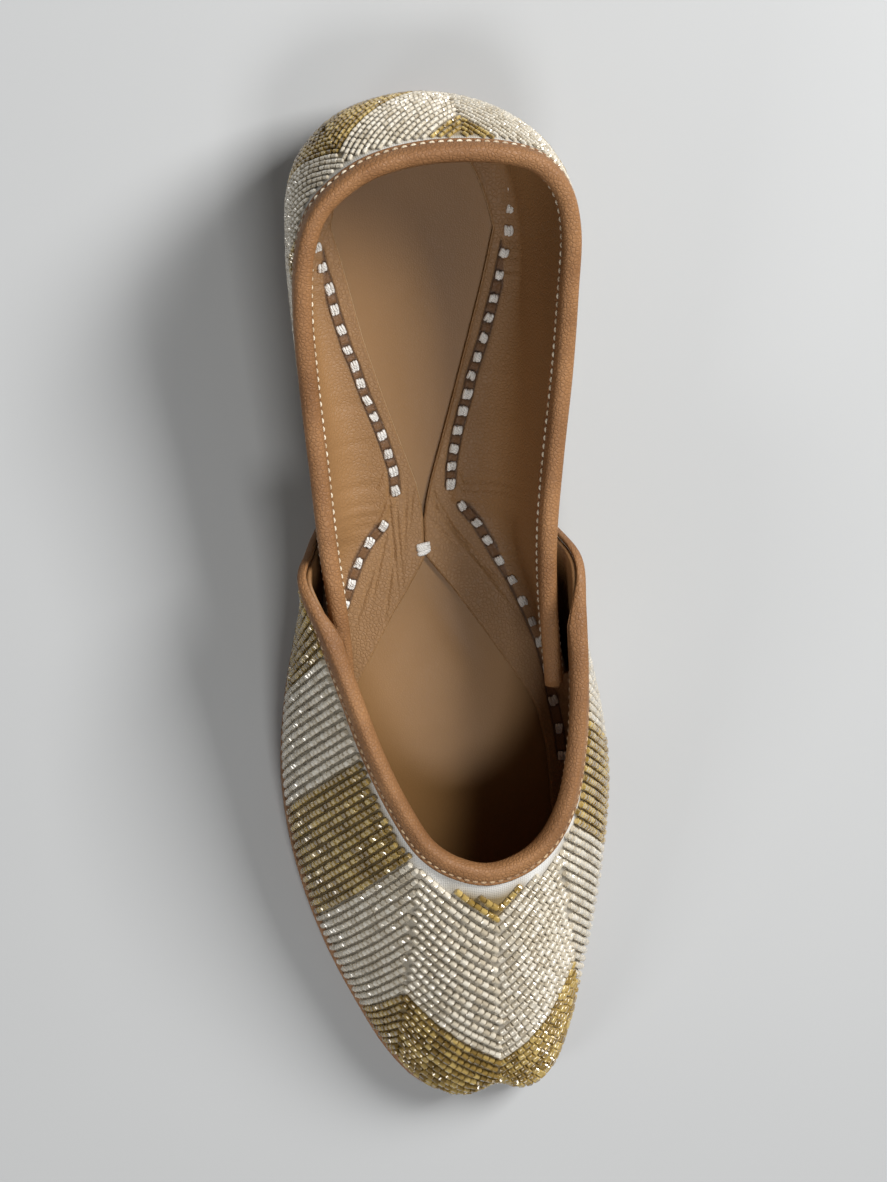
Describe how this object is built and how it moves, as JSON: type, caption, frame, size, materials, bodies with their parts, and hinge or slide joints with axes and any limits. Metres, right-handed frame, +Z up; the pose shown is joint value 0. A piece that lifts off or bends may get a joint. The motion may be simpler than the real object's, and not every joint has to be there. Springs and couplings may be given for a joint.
{
  "type": "beaded mojari shoe",
  "caption": "Flat leather mojari with a notched low toe, bead-covered vamp and quarter, rolled leather edges and a sewn footbed",
  "frame": {"origin": "Centre of the shoe's outline on the floor plane, under the middle of the bounding box", "axes": "+Z is up, +Y points to the heel and -Y to the toe, and +X is the side that the toe swings to"},
  "size_m": [0.0748, 0.2478, 0.0519],
  "materials": {
    "sole_leather": "smooth tan leather with a burnished edge",
    "footbed_leather": "smooth brown leather with a soft shine",
    "lining_leather": "pebbled tan lining leather",
    "beaded_cloth": "cloth covered with rows of silver and gold glass beads",
    "binding_leather": "rolled tan leather with stitching"
  },
  "bodies": {
    "root": {"outsole": "sole_leather", "insole": "footbed_leather", "flap_left": "lining_leather", "flap_right": "lining_leather", "upper": "beaded_cloth", "vamp_binding": "binding_leather", "collar_binding": "binding_leather"}
  },
  "joints": []
}
